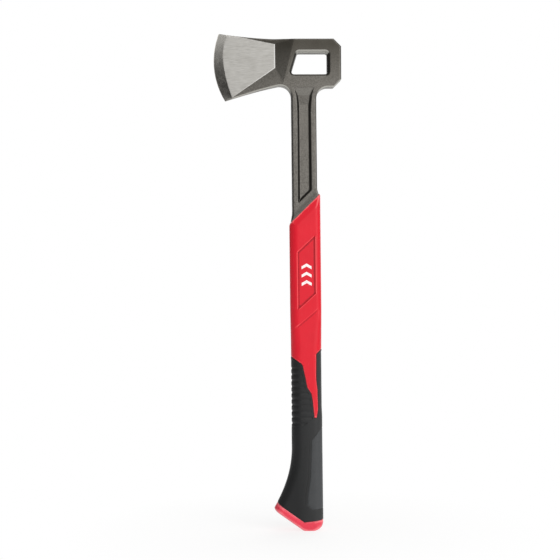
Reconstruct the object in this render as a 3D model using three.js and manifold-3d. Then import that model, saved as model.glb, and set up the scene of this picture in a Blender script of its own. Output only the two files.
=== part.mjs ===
// A single-bit axe: one steel forging makes the head, the I-beam shank and the tang, and a moulded
// handle is pinned on the tang. Millimetres. +Z runs up the handle to the head, -X is the side of
// the cutting edge and Y is the thickness. The origin is the middle of the flat under the butt.
import * as THREE from "three";
import { LoftGeometry } from "three/addons/geometries/LoftGeometry.js";
import { mergeVertices } from "three/addons/utils/BufferGeometryUtils.js";
import Module from "manifold-3d";

const wasm = await Module();
wasm.setup();

// ---- Driving dimensions ----

const gap = 0.3; // between any two pieces that touch

// The head's side view, as [x, z].
const toe = [-112.2, 661.3];
const heel = [-104.3, 571.3];
const edgeCentre = [-18, 624.2];
const edgeRadius = 101.3;
const headTop = 652.7;
const topCurveEnd = -37.6;
const topCurvePull = [-66, 653.8];
const pollFace = 50;
const pollUnder = 589;
const pollCorner = 10;
const beardPull = [-62, 585.4];
const throatCentre = [-31.8, 576];
const throatRadius = 15.2;
const throatTurn = 1.87;

// Half thicknesses of the forging. The ground cheek, the ramp behind it and the two facets above
// and below are planes through points [x, z, half thickness].
const shankHalf = 8.5;
const eyeTaperStart = 555;
const eyeTaper = 0.053;
const bevelSlope = 0.194;
const cheekTopEnd = [-37.9, 646.1, 8.5];
const cheekLowEnd = [-37.7, 614.5, 8.5];
const rampTopEnd = [-12, 652.7, 13.7];
const rampLowEnd = [-27.1, 594.6, 10.6];
const cheekTopStart = [-94.9, 658.8, 3.5];
const cheekLowStart = [-90.1, 578.7, 3.9];
const cheekFront = [-107, 620, 2.4];
const bevelReach = 16;
const bevelZone = [[-140, 540], [-62, 540], [-62, 700], [-140, 700]];

// The window through the head: corners at the side faces, then how it narrows inwards.
const windowCorners = [[-21.3, 603.3], [35, 603.3], [35, 637.9], [-10.4, 637.9]];
const windowRadius = 6;
const windowChamfer = 2.5;
const windowInset = 3.4;
const windowLand = 4;
const windowSteps = 4;

// The shank, its pockets, and the shoulder that sits on the slanted top of the handle.
const shankHalfWidth = 16.5;
const neckRadius = 15.4;
const collarHeight = 427.2;
const collarSlope = 0.968;
const shoulderRise = 16;
const shoulderHalfWidth = 18.3;
const shoulderHalf = 10;
const pocket = { opening: 10, floor: 6.25, depth: 4, rise: 15, floorRise: 19.5, top: 566 };
const pocketFade = { opening: 11.3, floor: 8, depth: 2.5, top: 578 };
const pocketEnd = { opening: 14.5, floor: 14, depth: -0.2, top: 589.5 };

// The tang inside the handle.
const rootBottom = 385;
const tangHalfWidth = 10;
const tangHalf = 4;
const tangBottom = 70;
const pinRadius = 3;
const pinHeights = { upper: 130, lower: 85 };
const sleeveWall = 2.2;

// The handle. Below gripStart it narrows a little and turns rounder, down to gripFull.
const gripStart = 300;
const gripFull = 235;
const handleHalfWidth = 20.6;
const gripHalfWidth = 20.15;
const handleHalf = 13.7;
const gripHalf = 14.5;
const buttHalf = 16;
const frontRadius = { bare: 11, grip: 13 };
const backRadius = { bare: 8, grip: 12 };
const cornerSteps = 5;
const flareStart = 110;
const flareRate = 0.00372;
const collarRimHalf = 11.2;
const collarBevelSlope = 0.3;
const cornerBevel = 1.2;
const gripSkin = 3;
const panelDepth = 0.6;
const coreTop = 262;
const plug = { halfX: 10, halfY: 7, bottom: 6, top: 30 };

// ---- Helpers ----

const far = 900;

function solid(geometry) {
  const plain = new THREE.BufferGeometry();
  plain.setAttribute("position", geometry.attributes.position);
  plain.setIndex(geometry.index);
  const merged = mergeVertices(plain, 1e-4);
  return new wasm.Manifold(
    new wasm.Mesh({
      numProp: 3,
      vertProperties: new Float32Array(merged.attributes.position.array),
      triVerts: new Uint32Array(merged.index.array),
    }),
  );
}

function geometryOf(body) {
  const mesh = body.getMesh();
  const geometry = new THREE.BufferGeometry();
  geometry.setAttribute("position", new THREE.BufferAttribute(mesh.vertProperties, mesh.numProp));
  geometry.setIndex(new THREE.BufferAttribute(mesh.triVerts, 1));
  return geometry;
}

function join(bodies) {
  return bodies.reduce((sum, body) => sum.add(body));
}

// A flat outline in X and Z, drawn from y0 to y1.
function plate(shape, y0, y1) {
  const geometry = new THREE.ExtrudeGeometry(shape, {
    depth: y1 - y0,
    bevelEnabled: false,
    curveSegments: 10,
  });
  geometry.rotateX(Math.PI / 2);
  geometry.translate(0, y1, 0);
  return solid(geometry);
}

function polygon(points) {
  return new THREE.Shape(points.map(([x, z]) => new THREE.Vector2(x, z)));
}

// The same outline, moved outwards by a distance. Corners keep their mitre.
function grow(points, distance) {
  const area = THREE.ShapeUtils.area(points.map(([x, z]) => new THREE.Vector2(x, z)));
  const side = Math.sign(area) * distance;
  return points.map(([x, z], i) => {
    const [px, pz] = points[(i + points.length - 1) % points.length];
    const [nx, nz] = points[(i + 1) % points.length];
    const before = new THREE.Vector2(z - pz, px - x).normalize();
    const after = new THREE.Vector2(nz - z, x - nx).normalize();
    const mitre = side / (1 + before.dot(after));
    return [x + (before.x + after.x) * mitre, z + (before.y + after.y) * mitre];
  });
}

function block(halfX, halfY, z0, z1) {
  const geometry = new THREE.BoxGeometry(2 * halfX, 2 * halfY, z1 - z0);
  geometry.translate(0, 0, (z0 + z1) / 2);
  return solid(geometry);
}

function crossCylinder(radius, halfLength, z) {
  const geometry = new THREE.CylinderGeometry(radius, radius, 2 * halfLength, 24);
  geometry.translate(0, 0, z);
  return solid(geometry);
}

function pinHoles() {
  return Object.values(pinHeights).map((z) => crossCylinder(pinRadius + gap, 2 * gripHalf, z));
}

// Everything behind a plane: the plane's normal points out of the material.
function halfSpace(point, normal) {
  const geometry = new THREE.BoxGeometry(far, far, far);
  geometry.translate(0, 0, -far / 2);
  const up = new THREE.Vector3(0, 0, 1);
  geometry.applyQuaternion(new THREE.Quaternion().setFromUnitVectors(up, normal.clone().normalize()));
  geometry.translate(point.x, point.y, point.z);
  return solid(geometry);
}

// The material between two mirrored planes. Three points [x, z, half thickness] set the planes.
function wedge(...points) {
  const [a, b, c] = points.map(([x, z, half]) => new THREE.Vector3(x, -half, z));
  const normal = b.clone().sub(a).cross(c.clone().sub(a));
  if (normal.y > 0) {
    normal.negate();
  }
  const mirror = new THREE.Vector3(1, -1, 1);
  const front = halfSpace(a, normal);
  const back = halfSpace(a.clone().multiply(mirror), normal.clone().multiply(mirror));
  return front.intersect(back);
}

// ---- The forging ----

function eyeHalf(z) {
  return shankHalf + eyeTaper * Math.max(0, z - eyeTaperStart);
}

function headOutline() {
  const start = Math.atan2(toe[1] - edgeCentre[1], toe[0] - edgeCentre[0]);
  const end = Math.atan2(heel[1] - edgeCentre[1], heel[0] - edgeCentre[0]);
  const throatTop = [
    throatCentre[0] + throatRadius * Math.cos(throatTurn),
    throatCentre[1] + throatRadius * Math.sin(throatTurn),
  ];
  const shape = new THREE.Shape();
  shape.moveTo(...toe);
  shape.absarc(...edgeCentre, edgeRadius, start, end, false);
  shape.quadraticCurveTo(...beardPull, ...throatTop);
  shape.absarc(...throatCentre, throatRadius, throatTurn, 0, true);
  shape.lineTo(-shankHalfWidth, rootBottom);
  shape.lineTo(shankHalfWidth, rootBottom);
  shape.lineTo(shankHalfWidth, pollUnder - neckRadius);
  shape.absarc(shankHalfWidth + neckRadius, pollUnder - neckRadius, neckRadius, Math.PI, Math.PI / 2, true);
  shape.lineTo(pollFace - pollCorner, pollUnder);
  shape.lineTo(pollFace, pollUnder + pollCorner);
  shape.lineTo(pollFace, headTop - pollCorner);
  shape.lineTo(pollFace - pollCorner, headTop);
  shape.lineTo(topCurveEnd, headTop);
  shape.quadraticCurveTo(...topCurvePull, ...toe);
  return shape;
}

// The bevel at the cutting edge is part of a double cone about the centre of the edge's arc.
function bevelWaste() {
  const inner = edgeRadius - bevelReach / bevelSlope;
  const profile = [
    [0, -bevelReach],
    [inner, -bevelReach],
    [edgeRadius, 0],
    [inner, bevelReach],
    [0, bevelReach],
  ];
  const cone = new THREE.LatheGeometry(profile.map(([r, y]) => new THREE.Vector2(r, y)), 180);
  cone.translate(edgeCentre[0], 0, edgeCentre[1]);
  return plate(polygon(bevelZone), 1 - bevelReach, bevelReach - 1).subtract(solid(cone));
}

// One closed outline of the window, narrowed by an inset, with rounded corners.
function windowRing(inset, height) {
  const centres = grow(windowCorners, -windowRadius);
  const ring = [];
  centres.forEach(([x, z], i) => {
    const [bx, bz] = windowCorners[(i + 3) % 4];
    const [cx, cz] = windowCorners[i];
    const [dx, dz] = windowCorners[(i + 1) % 4];
    const from = Math.atan2(bx - cx, cz - bz);
    let to = Math.atan2(cx - dx, dz - cz);
    if (to < from) {
      to += 2 * Math.PI;
    }
    for (let step = 0; step <= windowSteps; step++) {
      const turn = from + ((to - from) * step) / windowSteps;
      const px = x + (windowRadius - inset) * Math.cos(turn);
      const pz = z + (windowRadius - inset) * Math.sin(turn);
      ring.push(new THREE.Vector3(px, height(pz), pz));
    }
  });
  return ring;
}

function windowHole() {
  const rings = [
    windowRing(-1, (z) => -eyeHalf(z) - 1),
    windowRing(windowChamfer, (z) => -eyeHalf(z) + windowChamfer),
    windowRing(windowInset, () => -windowLand),
    windowRing(windowInset, () => windowLand),
    windowRing(windowChamfer, (z) => eyeHalf(z) - windowChamfer),
    windowRing(-1, (z) => eyeHalf(z) + 1),
  ];
  return solid(new LoftGeometry(rings.reverse(), { capStart: true, capEnd: true }));
}

// A pocket is a trough along the shank. Its lower end follows the slant of the handle's top, and
// its upper end widens and runs out into the head.
function pocketRing(side, shape, openingHeight, floorHeight) {
  const corner = (x, lift, height) => new THREE.Vector3(x, side * (eyeHalf(height(x)) + lift), height(x));
  return [
    corner(-shape.opening, 1, openingHeight),
    corner(shape.opening, 1, openingHeight),
    corner(shape.floor, -shape.depth, floorHeight),
    corner(-shape.floor, -shape.depth, floorHeight),
  ];
}

function shankPocket(side) {
  const collar = (rise) => (x) => collarHeight + rise + collarSlope * x;
  const rings = [pocketRing(side, pocket, collar(pocket.rise), collar(pocket.floorRise))];
  for (const shape of [pocket, pocketFade, pocketEnd]) {
    const level = () => shape.top;
    rings.push(pocketRing(side, shape, level, level));
  }
  return solid(new LoftGeometry(side < 0 ? rings : rings.reverse(), { capStart: true, capEnd: true }));
}

function collarRing(halfWidth, half, rise) {
  const corners = [[-1, -1], [1, -1], [1, 1], [-1, 1]];
  return corners.map(([sx, sy]) => {
    const x = sx * halfWidth;
    return new THREE.Vector3(x, sy * half, collarHeight + rise + collarSlope * x);
  });
}

// The shank flares just above the handle, and this shoulder bears on the handle's top.
function shoulder() {
  const rings = [
    collarRing(shoulderHalfWidth, shoulderHalf, gap),
    collarRing(shoulderHalfWidth, shoulderHalf, shoulderRise * 0.1),
    collarRing(shankHalfWidth + gap, shankHalf + gap, shoulderRise * 0.55),
    collarRing(shankHalfWidth - gap, shankHalf - gap, shoulderRise),
  ];
  return solid(new LoftGeometry(rings, { capStart: true, capEnd: true }));
}

// The head is as thick as the thickest of its four faces there, and never thicker than the eye.
function headForging() {
  const faces = join([
    wedge(cheekTopEnd, cheekLowEnd, cheekFront),
    wedge(cheekTopEnd, cheekLowEnd, rampTopEnd),
    wedge(cheekTopStart, cheekTopEnd, rampTopEnd),
    wedge(cheekLowStart, cheekLowEnd, rampLowEnd),
  ]);
  const eyeTop = eyeHalf(headTop);
  const eye = join([
    wedge([0, eyeTaperStart, shankHalf], [pollFace, headTop, eyeTop], [0, headTop, eyeTop]),
    block(pollFace, shankHalf, rootBottom, pollUnder),
  ]);
  const outline = plate(headOutline(), -2 * shankHalf, 2 * shankHalf);
  const tang = block(tangHalfWidth, tangHalf, tangBottom, rootBottom + 1);
  const steel = join([outline.intersect(faces).intersect(eye), tang, shoulder()]);
  return steel.subtract(join([bevelWaste(), windowHole(), shankPocket(-1), shankPocket(1), ...pinHoles()]));
}

// ---- The handle ----

// One level section of the handle: a rounded rectangle, rounder at the front than at the back.
function handleRing(z, inset) {
  const grip = 1 - THREE.MathUtils.smoothstep(z, gripFull, gripStart);
  const swell = 1 - THREE.MathUtils.smoothstep(z, 20, 120);
  const side = THREE.MathUtils.lerp(handleHalfWidth, gripHalfWidth, grip);
  const front = inset - side - flareRate * Math.max(0, flareStart - z) ** 2;
  const back = side - inset;
  const half = THREE.MathUtils.lerp(handleHalf, gripHalf, grip) + (buttHalf - gripHalf) * swell - inset;
  const nose = Math.min(THREE.MathUtils.lerp(frontRadius.bare, frontRadius.grip, grip), half - 0.5);
  const heelRound = Math.min(THREE.MathUtils.lerp(backRadius.bare, backRadius.grip, grip), half - 0.5);
  const corners = [
    [back - heelRound, half - heelRound, heelRound],
    [front + nose, half - nose, nose],
    [front + nose, nose - half, nose],
    [back - heelRound, heelRound - half, heelRound],
  ];
  const ring = [];
  corners.forEach(([x, y, radius], quarter) => {
    for (let step = 0; step <= cornerSteps; step++) {
      const turn = (quarter + step / cornerSteps) * (Math.PI / 2);
      ring.push(new THREE.Vector3(x + radius * Math.cos(turn), y + radius * Math.sin(turn), z));
    }
  });
  return ring;
}

// Sections lie close together where the handle's sides curve, and far apart where they are straight.
function handleLoft(inset, bottom, top) {
  const levels = [bottom];
  for (let z = 0; z <= flareStart; z += 10) {
    levels.push(z);
  }
  for (let z = gripFull; z <= gripStart; z += 13) {
    levels.push(z);
  }
  levels.push(top);
  const used = levels.filter((z, i) => i === 0 || (z > bottom && (z < top || i === levels.length - 1)));
  return solid(new LoftGeometry(used.map((z) => handleRing(z, inset)), { capStart: true, capEnd: true }));
}

// The upper edge of the butt cap, from front to back.
const capLine = [[-70, 58.2], [-5.7, 11.7], [19.5, 14.2], [40, 16.2]];

// The soft grip leaves a red tongue bare between its front edge and its back edge.
const gripRegion = [
  ...capLine,
  [40, 259],
  [19.5, 240.5],
  [12.7, 234.3],
  [12.3, 200],
  [13.9, 188],
  [14.4, 161],
  [12.4, 150],
  [9.4, 150],
  [6.9, 174.4],
  [5.5, 182],
  [0.4, 189.8],
  [-5.6, 219.3],
  [-7.4, 221.8],
  [-70, 265.5],
];

const padRegion = [
  [40, 29.5],
  [40, 158],
  [19.2, 135.3],
  [5.3, 120.1],
  [3.1, 69.2],
  [0.2, 52.8],
  [-1.1, 35.2],
  [5.4, 28.9],
];

const panelRegion = [[-11.3, 292.2], [13.1, 314.2], [13.1, 392.4], [-11.3, 369.6]];

function regionPlate(points) {
  return plate(polygon(points), -30, 30);
}

// The slanted top of the handle. A broad bevel thins each side towards the steel, and a small one
// takes off the front and the back corner.
function collarCut() {
  const up = new THREE.Vector3(-collarSlope, 0, 1).normalize();
  const planes = [halfSpace(new THREE.Vector3(0, 0, collarHeight), up)];
  for (const side of [-1, 1]) {
    const flank = new THREE.Vector3(0, side, 0).addScaledVector(up, collarBevelSlope);
    planes.push(halfSpace(new THREE.Vector3(0, side * collarRimHalf, collarHeight), flank));
    const x = side * (handleHalfWidth - cornerBevel);
    const corner = new THREE.Vector3(side, 0, 0).add(up);
    planes.push(halfSpace(new THREE.Vector3(x, 0, collarHeight + collarSlope * x), corner));
  }
  return planes.reduce((kept, plane) => kept.intersect(plane));
}

function handleBody() {
  const top = collarHeight + collarSlope * handleHalfWidth + 1;
  const bare = handleLoft(0, flareStart, top).intersect(collarCut());
  const red = bare.subtract(regionPlate(grow(gripRegion, gap)));
  const aboveCap = [...capLine.map(([x, z]) => [x, z + 2 * gap]), [40, coreTop + 10], [-70, coreTop + 10]];
  const core = handleLoft(gripSkin, 0, coreTop).intersect(regionPlate(aboveCap));
  const sleeveRoom = gap + sleeveWall + gap;
  const hollow = join([
    block(shankHalfWidth + gap, shankHalf + gap, rootBottom - gap, top),
    block(tangHalfWidth + sleeveRoom, tangHalf + sleeveRoom, tangBottom - 6, rootBottom + 1),
    block(plug.halfX + gap, plug.halfY + gap, 0, plug.top + gap),
    ...pinHoles(),
  ]);
  const panels = [-1, 1].map((side) => {
    const depths = [side * (handleHalf - panelDepth), side * 2 * handleHalf];
    return plate(polygon(panelRegion), Math.min(...depths), Math.max(...depths));
  });
  return red.add(core).subtract(join([hollow, ...panels]));
}

function gripShell() {
  return handleLoft(0, -10, coreTop).subtract(handleLoft(gripSkin - gap, -11, coreTop + 1));
}

function gripOvermold() {
  const region = regionPlate(gripRegion.map(([x, z], i) => [x, i < capLine.length ? z + gap : z]));
  return gripShell().intersect(region).subtract(regionPlate(grow(padRegion, gap)));
}

function palmPad() {
  return gripShell().intersect(regionPlate(padRegion));
}

function buttCap() {
  const outline = new THREE.Shape();
  outline.moveTo(...capLine[0]);
  outline.lineTo(-45.6, 35.2);
  outline.quadraticCurveTo(-46, 29, -40.4, 24.9);
  outline.lineTo(-8, 1.5);
  outline.quadraticCurveTo(-6, 0, -3.8, 0);
  outline.lineTo(8, 0);
  outline.quadraticCurveTo(19.2, 2.6, 20.4, 10.5);
  for (const point of [...capLine].reverse()) {
    outline.lineTo(...point);
  }
  const shell = handleLoft(0, -10, 70).intersect(plate(outline, -30, 30));
  return shell.add(block(plug.halfX, plug.halfY, plug.bottom, plug.top));
}

function tangSleeve() {
  const outer = block(
    tangHalfWidth + gap + sleeveWall,
    tangHalf + gap + sleeveWall,
    tangBottom - 4,
    rootBottom - gap,
  );
  const bore = block(tangHalfWidth + gap, tangHalf + gap, tangBottom - 10, rootBottom + 10);
  return outer.subtract(join([bore, ...pinHoles()]));
}

function tangPin(height) {
  return crossCylinder(pinRadius, gripHalf - gripSkin - gap, height);
}

// ---- The assembly ----

const forgedSteel = { color: 0x7d7971, roughness: 0.5, metalness: 0.9 };
const pinSteel = { color: 0x9a9a98, roughness: 0.35, metalness: 1 };
const redNylon = { color: 0xd81726, roughness: 0.42, metalness: 0 };
const blackRubber = { color: 0x2b2d2f, roughness: 0.75, metalness: 0 };
const greyRubber = { color: 0x44474a, roughness: 0.8, metalness: 0 };
const damperRubber = { color: 0x202020, roughness: 0.9, metalness: 0 };

function piece(name, body, finish) {
  const mesh = new THREE.Mesh(geometryOf(body), new THREE.MeshStandardMaterial(finish));
  mesh.name = name;
  return mesh;
}

const axe = new THREE.Group();
axe.add(piece("head_forging", headForging(), forgedSteel));
axe.add(piece("tang_sleeve", tangSleeve(), damperRubber));
axe.add(piece("handle_body", handleBody(), redNylon));
axe.add(piece("grip_overmold", gripOvermold(), blackRubber));
axe.add(piece("palm_pad", palmPad(), greyRubber));
axe.add(piece("butt_cap", buttCap(), redNylon));
for (const [place, height] of Object.entries(pinHeights)) {
  axe.add(piece(`tang_pin_${place}`, tangPin(height), pinSteel));
}

export default axe;
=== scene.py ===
import math
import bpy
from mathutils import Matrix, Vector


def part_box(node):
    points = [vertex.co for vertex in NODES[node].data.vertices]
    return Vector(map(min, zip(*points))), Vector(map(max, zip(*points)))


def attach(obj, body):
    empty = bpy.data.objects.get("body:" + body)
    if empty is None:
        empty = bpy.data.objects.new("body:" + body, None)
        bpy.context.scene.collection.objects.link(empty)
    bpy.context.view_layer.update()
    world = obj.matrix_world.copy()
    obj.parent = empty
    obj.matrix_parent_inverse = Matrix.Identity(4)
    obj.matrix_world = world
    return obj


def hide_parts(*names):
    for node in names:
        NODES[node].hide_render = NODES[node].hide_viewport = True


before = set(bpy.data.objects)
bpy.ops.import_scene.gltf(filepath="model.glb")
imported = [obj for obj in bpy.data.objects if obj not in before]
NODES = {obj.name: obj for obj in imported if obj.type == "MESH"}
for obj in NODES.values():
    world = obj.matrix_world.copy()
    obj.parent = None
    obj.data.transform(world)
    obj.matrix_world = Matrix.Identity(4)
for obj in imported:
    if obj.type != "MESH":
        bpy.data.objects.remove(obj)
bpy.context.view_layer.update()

from types import SimpleNamespace

import bmesh
import bpy
import numpy as np
from mathutils import Matrix, Vector
from mathutils.bvhtree import BVHTree
from mathutils.geometry import delaunay_2d_cdt
from mathutils.kdtree import KDTree
from numpy.linalg import norm

# A single-bit axe: a steel forging, a red handle with a soft black grip, a grey palm pad and a red
# butt cap. The shapes are worked out in millimetres and turned to metres as each mesh is made.
# +Z runs up the handle, -X is the side of the cutting edge and Y is the thickness.
MM = 0.001

# ---- The handle's dimensions, as in the CAD source ----

COLLAR_HEIGHT, COLLAR_SLOPE = 427.2, 0.968
COLLAR_RIM_HALF, COLLAR_BEVEL_SLOPE = 11.2, 0.3
CORNER_BEVEL, CORNER_BEVEL_FROM = 1.2, 380
GRIP_FULL, GRIP_START = 235, 300
BARE = {"side": 20.6, "half": 13.7, "nose": 11, "heel": 8}
GRIP = {"side": 20.15, "half": 14.5, "nose": 13, "heel": 12}
BUTT_SWELL, SWELL_FROM, SWELL_TO = 1.5, 120, 20
FLARE_START, FLARE_RATE = 110, 0.00372
SKIN = 3.0
PLUG_HALF_X, PLUG_HALF_Y, PLUG_BOTTOM, PLUG_TOP = 10, 7, 6, 30
ROOT_HALF_X, ROOT_HALF_Y = 16.8, 8.8

# Lines on the side of the handle, as [x, z], from the front of the handle to its back.
CAP_LINE = [[-70, 58.2], [-5.7, 11.7], [19.5, 14.2], [40, 16.2]]
FRONT_LINE = [
    [-70, 265.5], [-7.4, 221.8], [-5.6, 219.3], [0.4, 189.8], [5.5, 182], [6.9, 174.4], [9.4, 150],
]
REAR_LINE = [
    [12.4, 150], [14.4, 161], [13.9, 188], [12.3, 200], [12.7, 234.3], [19.5, 240.5], [40, 259],
]
PAD_LINE = [
    [40, 29.5], [5.4, 28.9], [-1.1, 35.2], [0.2, 52.8], [3.1, 69.2], [5.3, 120.1], [19.2, 135.3], [40, 158],
]
GRIP_OUTLINE = [*CAP_LINE, *REAR_LINE[::-1], *FRONT_LINE[::-1]]
PANEL = [[-11.3, 292.2], [13.1, 314.2], [13.1, 392.4], [-11.3, 369.6]]
CREASE_LINE = [[-12.6, 271.2], [14.6, 293.8]]
PAD_ECHO = [[2.2, 121], [-0.4, 69.4], [-3.3, 53], [-4.6, 36]]
RIB_FOOT = [[-70, 134.5], [-8, 136.5], [2.5, 145], [7, 148.6]]

# The blade's flat faces, as planes through points [x, z, half thickness], and the cutting edge's arc.
CHEEK_PLANE = [[-37.9, 646.1, 8.5], [-37.7, 614.5, 8.5], [-107, 620, 2.4]]
TOP_PLANE = [[-94.9, 658.8, 3.5], [-37.9, 646.1, 8.5], [-12, 652.7, 13.7]]
LOW_PLANE = [[-90.1, 578.7, 3.9], [-37.7, 614.5, 8.5], [-27.1, 594.6, 10.6]]
EDGE_CENTRE, EDGE_ARC = (-18, 624.2), 101.3

# ---- Detail that only the looks need ----

# The honed bevel's width along the edge, by the angle in degrees above the arc's centre.
BEVEL_ANGLES = (-34, -26, -18, -9, -1, 7, 15, 22)
BEVEL_WIDTHS = (9.8, 11.9, 13.3, 13.5, 12.9, 11.8, 11.2, 11.4)
BLADE_END, CHEEK_END = -80, -37.8
WINDOW_ZONE = (-24, 37, 600, 641)

EDGE_RADIUS = 1.8  # on the forging's outline
FILLET = 0.5  # where the forging's faces meet
BUTT_RADIUS = 3.0
SKIN_INSET = 0.4  # how far a soft skin's inside is drawn in from its border
CLEARANCE = 0.3  # round whatever sits in the handle's hollows
HOLLOW_TOP = 480  # above the collar
SHARP_ANGLE = 38  # degrees, for the shading
NOISE_RANGE = (0.3, 0.7)  # where most of a noise lies
RIB_PITCH, RIB_CENTRE, RIB_TOP, RIBS_END = 8.1, 211.0, 217.0, 9
RIB_DEPTH, FIELD_DEPTH, PANEL_DEPTH, STEP_DEPTH = 0.75, 0.2, 1.25, 0.85
GRIP_PROUD, PAD_SUNK = 0.25, 0.12
WALL_WIDTH = 1.3  # from the panel's border to its floor, and down the step below it
MARK_X, MARK_LOW, MARK_PITCH, MARK_HALF = 0.9, 325.0, 11.0, 6.6

# How the forging's relief reads the CAD node.
ROOT_BOTTOM = 385.1  # the relief ends here, and the tang below it is the CAD node's own
FRONT_TILT = -0.1  # the normal's Y of the flattest wall that still counts as part of the front
CREASE_COS = math.cos(math.radians(1.5))
SMOOTH_COS = math.cos(math.radians(16))
NUDGE = 0.12  # how far inside the outline its depth is read
ASIDE = 0.02  # how far off their own place other points are read, so as to miss the node's edges
WALL_HEIGHT = 0.3  # a larger change of depth stays sharp
THINNEST, KEEN_HALF = 0.08, 0.04  # an edge thinner than the first gets the second as its half thickness
SLIVER = 0.001  # square millimetres

# How far apart the meshes' points are.
FORGING_STEP, HANDLE_STEP, RIB_STEP = 1.1, 1.15, 0.8
HANDLE_BANDS = ((-1, 127, HANDLE_STEP), (127, 232, RIB_STEP), (232, 450, HANDLE_STEP))
ROW_HEIGHT = 0.866  # between the rows of a triangular grid, as a share of its step
RIM_ROWS = (0.076, 0.293, 0.617, 1.0, 1.45)  # rows inside the forging's outline, by its edge radius
BESIDE = (-0.75, -0.35, 0.35, 0.75)
DETAIL_ROWS = {  # rows beside the lines on the handle
    "front": (-3.4, -2.6, -1.2, *BESIDE, 1.2),
    "rear": (-2.9, -2.1, -1.2, *BESIDE, 1.2),
    "tongue": BESIDE,
    "cap": BESIDE,
    "pad": BESIDE,
    "echo": (-0.6, -0.3, 0.3, 0.6),
    "foot": (-0.9, -0.45, 0.45, 0.9),
    "crease": (-0.65, 0.65, -1.3, 1.3),
    "panel": (-0.65, 0.65, -1.3, 1.3),
    "butt": (0.25, 0.9, 1.8, 3.0),
}

MAP_WIDTH = 60.0  # the handle map's width, close to the real length round one side
MIRROR = np.array([1, -1, 1])  # from one side of the axe to the other

# The stage. The four lights are the strengths of the world's bands and of the light from all round.
BACKGROUND = (1.0, 1.0, 1.0)
FLOOR_RADIUS, FLOOR_TOP, FLOOR_SIDES = 6000, -0.05, 96
FLOOR_FADE = (60, 320)  # where the floor starts and ends turning into the background
FRONT_LIGHT, ABOVE_LIGHT, UNDER_LIGHT, ROOM_LIGHT = 1.35, 0.45, 0.9, 0.05
CAMERA_PLACE = Vector((-0.116, -1.700, 0.333))
CAMERA_TARGET = Vector((-0.0339, 0, 0.333))
SEEN_WIDTH, SENSOR_WIDTH = 0.747, 36
CAMERA_ROLL = 0.6


# ---- Small helpers ----

def smooth(edge0, edge1, value):
    t = np.clip((value - edge0) / (edge1 - edge0), 0, 1)
    return t * t * (3 - 2 * t)


def add_object(name, data):
    obj = bpy.data.objects.new(name, data)
    bpy.context.scene.collection.objects.link(obj)
    return obj


def new_object(name, vertices, faces):
    """A mesh object from vertices in millimetres."""
    mesh = bpy.data.meshes.new(name)
    mesh.from_pydata((np.asarray(vertices) * MM).tolist(), [], [list(map(int, f)) for f in faces])
    return add_object(name, mesh)


def shade(obj, angle):
    """Smooth shading that keeps every edge sharper than the angle, in degrees."""
    obj.data.polygons.foreach_set("use_smooth", [True] * len(obj.data.polygons))
    obj.data.set_sharp_from_angle(angle=math.radians(angle))


def boolean(obj, tool, operation):
    """Joins or cuts with another object, which is used up."""
    modifier = obj.modifiers.new("boolean", "BOOLEAN")
    modifier.object, modifier.operation, modifier.solver = tool, operation, "MANIFOLD"
    bpy.context.view_layer.update()
    depsgraph = bpy.context.evaluated_depsgraph_get()
    made = bpy.data.meshes.new_from_object(obj.evaluated_get(depsgraph))
    obj.modifiers.clear()
    obj.data = made
    bpy.data.objects.remove(tool, do_unlink=True)
    return obj


def block(name, low, high):
    corners = [(x, y, z) for x in (low[0], high[0]) for y in (low[1], high[1]) for z in (low[2], high[2])]
    faces = [(0, 1, 3, 2), (4, 6, 7, 5), (0, 4, 5, 1), (2, 3, 7, 6), (0, 2, 6, 4), (1, 5, 7, 3)]
    return new_object(name, corners, faces)


def circle(radius, sides):
    return [(radius * math.cos(t), radius * math.sin(t)) for t in np.arange(sides) * 2 * math.pi / sides]


def grown_box(node, margin):
    low, high = (np.array(v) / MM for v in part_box(node))
    return low - margin, high + margin


def twice_area(points, triangles):
    """Twice each triangle's area in the plane, positive where its corners run anticlockwise."""
    a, b, c = (points[triangles[:, i]] for i in range(3))
    return (b[:, 0] - a[:, 0]) * (c[:, 1] - a[:, 1]) - (b[:, 1] - a[:, 1]) * (c[:, 0] - a[:, 0])


def triangulate(points, edges):
    """A constrained Delaunay triangulation: its points, and its triangles all turned the same way."""
    made = delaunay_2d_cdt([Vector(p) for p in points], edges, [], 0, 1e-4)
    flat = np.array([tuple(p) for p in made[0]])
    triangles = np.array([f for f in made[2] if len(f) == 3])
    area = twice_area(flat, triangles)
    triangles, area = triangles[np.abs(area) > 1e-7], area[np.abs(area) > 1e-7]
    triangles[area < 0] = triangles[area < 0][:, ::-1]
    return flat, triangles


def used_points(flat, triangles):
    """The points that the triangles use, and the triangles renumbered to match."""
    used, renumbered = np.unique(triangles, return_inverse=True)
    return flat[used], renumbered.reshape(-1, 3)


def add_line(points, edges, line):
    """Adds a line's points, and the edges between them."""
    edges.extend((len(points) + i, len(points) + i + 1) for i in range(len(line) - 1))
    points.extend(line)


def grid(low, high, step):
    """The points of a triangular grid, row by row, with their clearances."""
    rows = []
    for row, z in enumerate(np.arange(low[1], high[1], step * ROW_HEIGHT)):
        x = np.arange(low[0] + (row % 2) * step / 2, high[0], step)
        rows.append(np.column_stack([x, np.full(len(x), z)]))
    return spaced(np.vstack(rows), 0.6 * step)


def across_line(line, stretch=1.0):
    """One millimetre across a line at each point, where its first axis is drawn out by the stretch."""
    scale = np.ones_like(line)
    scale[:, 0] = 1 / stretch
    d = np.gradient(line * scale, axis=0)
    turned = np.column_stack([-d[:, 1] * stretch, d[:, 0]])
    return turned / np.maximum(norm(d, axis=1), 1e-9)[:, None]


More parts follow.
